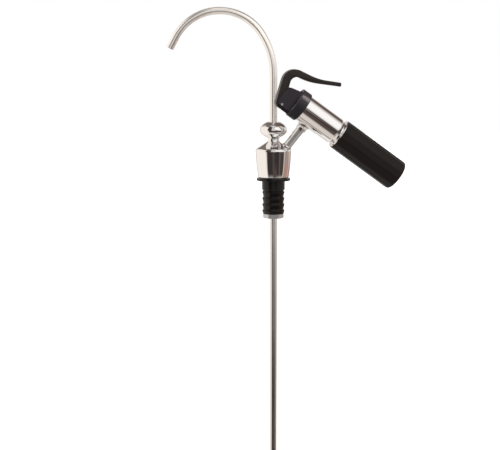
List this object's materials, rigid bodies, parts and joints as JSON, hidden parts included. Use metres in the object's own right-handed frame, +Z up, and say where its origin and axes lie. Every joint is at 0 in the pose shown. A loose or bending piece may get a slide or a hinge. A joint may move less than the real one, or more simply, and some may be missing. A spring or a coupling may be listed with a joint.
{
  "type": "wine preservation dispenser",
  "caption": "Chrome bottle stopper with a gooseneck spout and dip tube, and a side handle that holds a gas cartridge and has a thumb lever to pour.",
  "frame": {"origin": "centre of the bottle's lip, on the underside of the rubber flange", "axes": "+Z up along the stopper's axis; -X is the side the spout pours to; the gas handle stands on the +X side and its inlet leans towards -Y, the front"},
  "size_m": [0.1924, 0.0392, 0.4143],
  "materials": {
    "chrome": "mirror-polished chrome plate on brass",
    "tube_steel": "polished stainless steel tube",
    "turned_steel": "turned stainless steel",
    "brass": "turned brass",
    "cartridge_steel": "zinc-plated drawn steel",
    "bung_rubber": "matt food-grade rubber",
    "seal_rubber": "smooth seal rubber",
    "head_black": "glossy black moulding",
    "lever_black": "satin black moulding",
    "grip_black": "satin black moulding with long flats"
  },
  "bodies": {
    "stopper": {"bung": "bung_rubber", "stopper_stem": "turned_steel", "bung_nut": "turned_steel", "stopper_body": "chrome", "gland_ring": "seal_rubber", "gland_washer": "brass", "gland_knob": "chrome", "inlet_tube": "chrome", "inlet_collar": "chrome", "inlet_ferrule": "chrome", "handle_barrel": "chrome", "head_collar": "head_black", "head_clevis": "head_black", "lever_pin": "turned_steel", "plunger_seal": "seal_rubber", "valve_seat": "brass", "valve_spring": "turned_steel", "piercer_plug": "brass", "piercing_pin": "turned_steel", "cartridge_seal": "seal_rubber"},
    "spout": {"spout_tube": "tube_steel", "spout_collar": "brass", "tube_coupling": "brass", "dip_tube": "tube_steel"},
    "lever": {"lever": "lever_black"},
    "plunger": {"valve_plunger": "brass", "valve_washer": "seal_rubber"},
    "cartridge": {"gas_cartridge": "cartridge_steel"},
    "grip": {"grip_sleeve": "grip_black", "grip_liner": "turned_steel", "grip_mouth_ring": "chrome", "cartridge_pad": "seal_rubber"}
  },
  "joints": [
    {"name": "spout_swivel", "type": "hinge", "parent": "stopper", "child": "spout", "pos_m": [0, 0, 0.03], "axis": [0, 0, 1], "continuous": true},
    {"name": "lever_squeeze", "type": "hinge", "parent": "stopper", "child": "lever", "pos_m": [0.00528, -0.01415, 0.06254], "axis": [-0.157, 0.9875, 0.0142], "range_deg": [0, 10], "stiffness_Nm_per_rad": 1.2, "springref_deg": -5.73},
    {"name": "plunger_slide", "type": "slide", "parent": "stopper", "child": "plunger", "axis": [0.8001, 0.1356, -0.5843], "range_m": [0, 0.00176], "deforming": ["valve_spring"]},
    {"name": "cartridge_slide", "type": "slide", "parent": "stopper", "child": "cartridge", "axis": [0.8001, 0.1356, -0.5843], "range_m": [0, 0.00438]},
    {"name": "grip_turn", "type": "hinge", "parent": "cartridge", "child": "grip", "pos_m": [0.03071, -0.00998, 0.05383], "axis": [0.8001, 0.1356, -0.5843], "range_deg": [0, 1260]}
  ],
  "couplings": [
    {"joint": "lever_squeeze", "follows": "plunger_slide", "rad_per_m": 99},
    {"joint": "grip_turn", "follows": "cartridge_slide", "rad_per_m": 5026.5}
  ]
}
